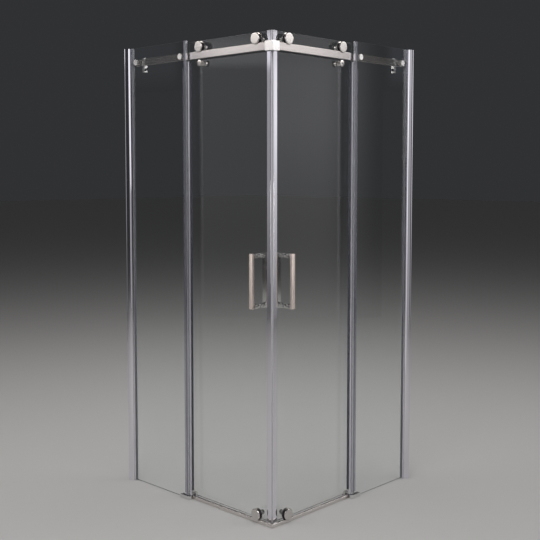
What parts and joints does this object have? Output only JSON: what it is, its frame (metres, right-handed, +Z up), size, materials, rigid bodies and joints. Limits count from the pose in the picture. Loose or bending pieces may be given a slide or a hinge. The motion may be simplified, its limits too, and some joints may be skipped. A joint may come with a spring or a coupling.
{
  "type": "corner shower enclosure",
  "caption": "Square corner-entry shower enclosure: clear glass panes and frameless sliding doors on exposed rollers, with slim wall profiles and D handles.",
  "frame": {"origin": "centre of the footprint box, at floor level", "axes": "+Z up; the entry corner is at +X, -Y, the front panel faces -Y, the side panel faces +X, and the walls are at -X and +Y"},
  "size_m": [0.91, 0.91, 1.95],
  "materials": {
    "profile": "polished",
    "glass": "clear float glass",
    "clear_seal": "clear soft plastic",
    "gasket": "clear soft plastic",
    "steel": "polished stainless steel",
    "screw": "bright",
    "washer": "clear plastic",
    "bumper": "matte black",
    "floor_steel": "polished stainless steel",
    "guide_chrome": "polished",
    "pad": "white nylon",
    "magnet": "pale satin cover",
    "handle": "satin stainless steel",
    "bearing": "ground",
    "tyre": "black nylon"
  },
  "bodies": {
    "frame": {"front_wall_channel": "profile", "side_wall_channel": "profile", "front_glass_channel": "profile", "side_glass_channel": "profile", "channel_screws": "screw", "front_wall_gasket": "gasket", "side_wall_gasket": "gasket", "front_fixed_glass": "glass", "side_fixed_glass": "glass", "front_fixed_seal": "clear_seal", "side_fixed_seal": "clear_seal", "front_rail": "steel", "side_rail": "steel", "rail_corner": "steel", "set_screws": "screw", "standoff_caps": "steel", "standoff_spacers": "steel", "standoff_washers": "washer", "front_stopper": "steel", "side_stopper": "steel", "stopper_bumpers": "bumper", "front_threshold": "floor_steel", "side_threshold": "floor_steel", "front_foot_guide": "guide_chrome", "side_foot_guide": "guide_chrome", "guide_pads": "pad"},
    "front_door": {"front_door_glass": "glass", "front_edge_profile": "profile", "front_magnet": "magnet", "front_trailing_seal": "clear_seal", "front_handle_outer": "handle", "front_handle_inner": "handle", "front_washers": "washer", "front_axles": "steel", "front_bearings": "bearing", "front_nuts": "steel", "front_lift_pin": "steel"},
    "side_door": {"side_door_glass": "glass", "side_edge_profile": "profile", "side_magnet": "magnet", "side_trailing_seal": "clear_seal", "side_handle_outer": "handle", "side_handle_inner": "handle", "side_washers": "washer", "side_axles": "steel", "side_bearings": "bearing", "side_nuts": "steel", "side_lift_pin": "steel"},
    "front_lead_roller": {"front_lead_tyre": "tyre", "front_lead_discs": "steel"},
    "front_trail_roller": {"front_trail_tyre": "tyre", "front_trail_discs": "steel"},
    "front_floor_roller": {"front_floor_tyre": "tyre", "front_floor_discs": "steel"},
    "side_lead_roller": {"side_lead_tyre": "tyre", "side_lead_discs": "steel"},
    "side_trail_roller": {"side_trail_tyre": "tyre", "side_trail_discs": "steel"},
    "side_floor_roller": {"side_floor_tyre": "tyre", "side_floor_discs": "steel"}
  },
  "joints": [
    {"name": "front_door_slide", "type": "slide", "parent": "frame", "child": "front_door", "axis": [-1, 0, 0], "range_m": [0, 0.325]},
    {"name": "side_door_slide", "type": "slide", "parent": "frame", "child": "side_door", "axis": [0, 1, 0], "range_m": [0, 0.325]},
    {"name": "front_lead_roller_turn", "type": "hinge", "parent": "front_door", "child": "front_lead_roller", "pos_m": [0.328, -0.414, 1.9215], "axis": [0, 1, 0], "continuous": true},
    {"name": "front_trail_roller_turn", "type": "hinge", "parent": "front_door", "child": "front_trail_roller", "pos_m": [-0.002, -0.414, 1.9215], "axis": [0, 1, 0], "continuous": true},
    {"name": "front_floor_roller_turn", "type": "hinge", "parent": "front_door", "child": "front_floor_roller", "pos_m": [0.328, -0.414, 0.0335], "axis": [0, 1, 0], "continuous": true},
    {"name": "side_lead_roller_turn", "type": "hinge", "parent": "side_door", "child": "side_lead_roller", "pos_m": [0.414, -0.328, 1.9215], "axis": [1, 0, 0], "continuous": true},
    {"name": "side_trail_roller_turn", "type": "hinge", "parent": "side_door", "child": "side_trail_roller", "pos_m": [0.414, 0.002, 1.9215], "axis": [1, 0, 0], "continuous": true},
    {"name": "side_floor_roller_turn", "type": "hinge", "parent": "side_door", "child": "side_floor_roller", "pos_m": [0.414, -0.328, 0.0335], "axis": [1, 0, 0], "continuous": true}
  ],
  "couplings": [
    {"joint": "front_lead_roller_turn", "follows": "front_door_slide", "rad_per_m": -54.945},
    {"joint": "front_trail_roller_turn", "follows": "front_door_slide", "rad_per_m": -54.945},
    {"joint": "front_floor_roller_turn", "follows": "front_door_slide", "rad_per_m": -54.945},
    {"joint": "side_lead_roller_turn", "follows": "side_door_slide", "rad_per_m": -54.945},
    {"joint": "side_trail_roller_turn", "follows": "side_door_slide", "rad_per_m": -54.945},
    {"joint": "side_floor_roller_turn", "follows": "side_door_slide", "rad_per_m": -54.945}
  ]
}
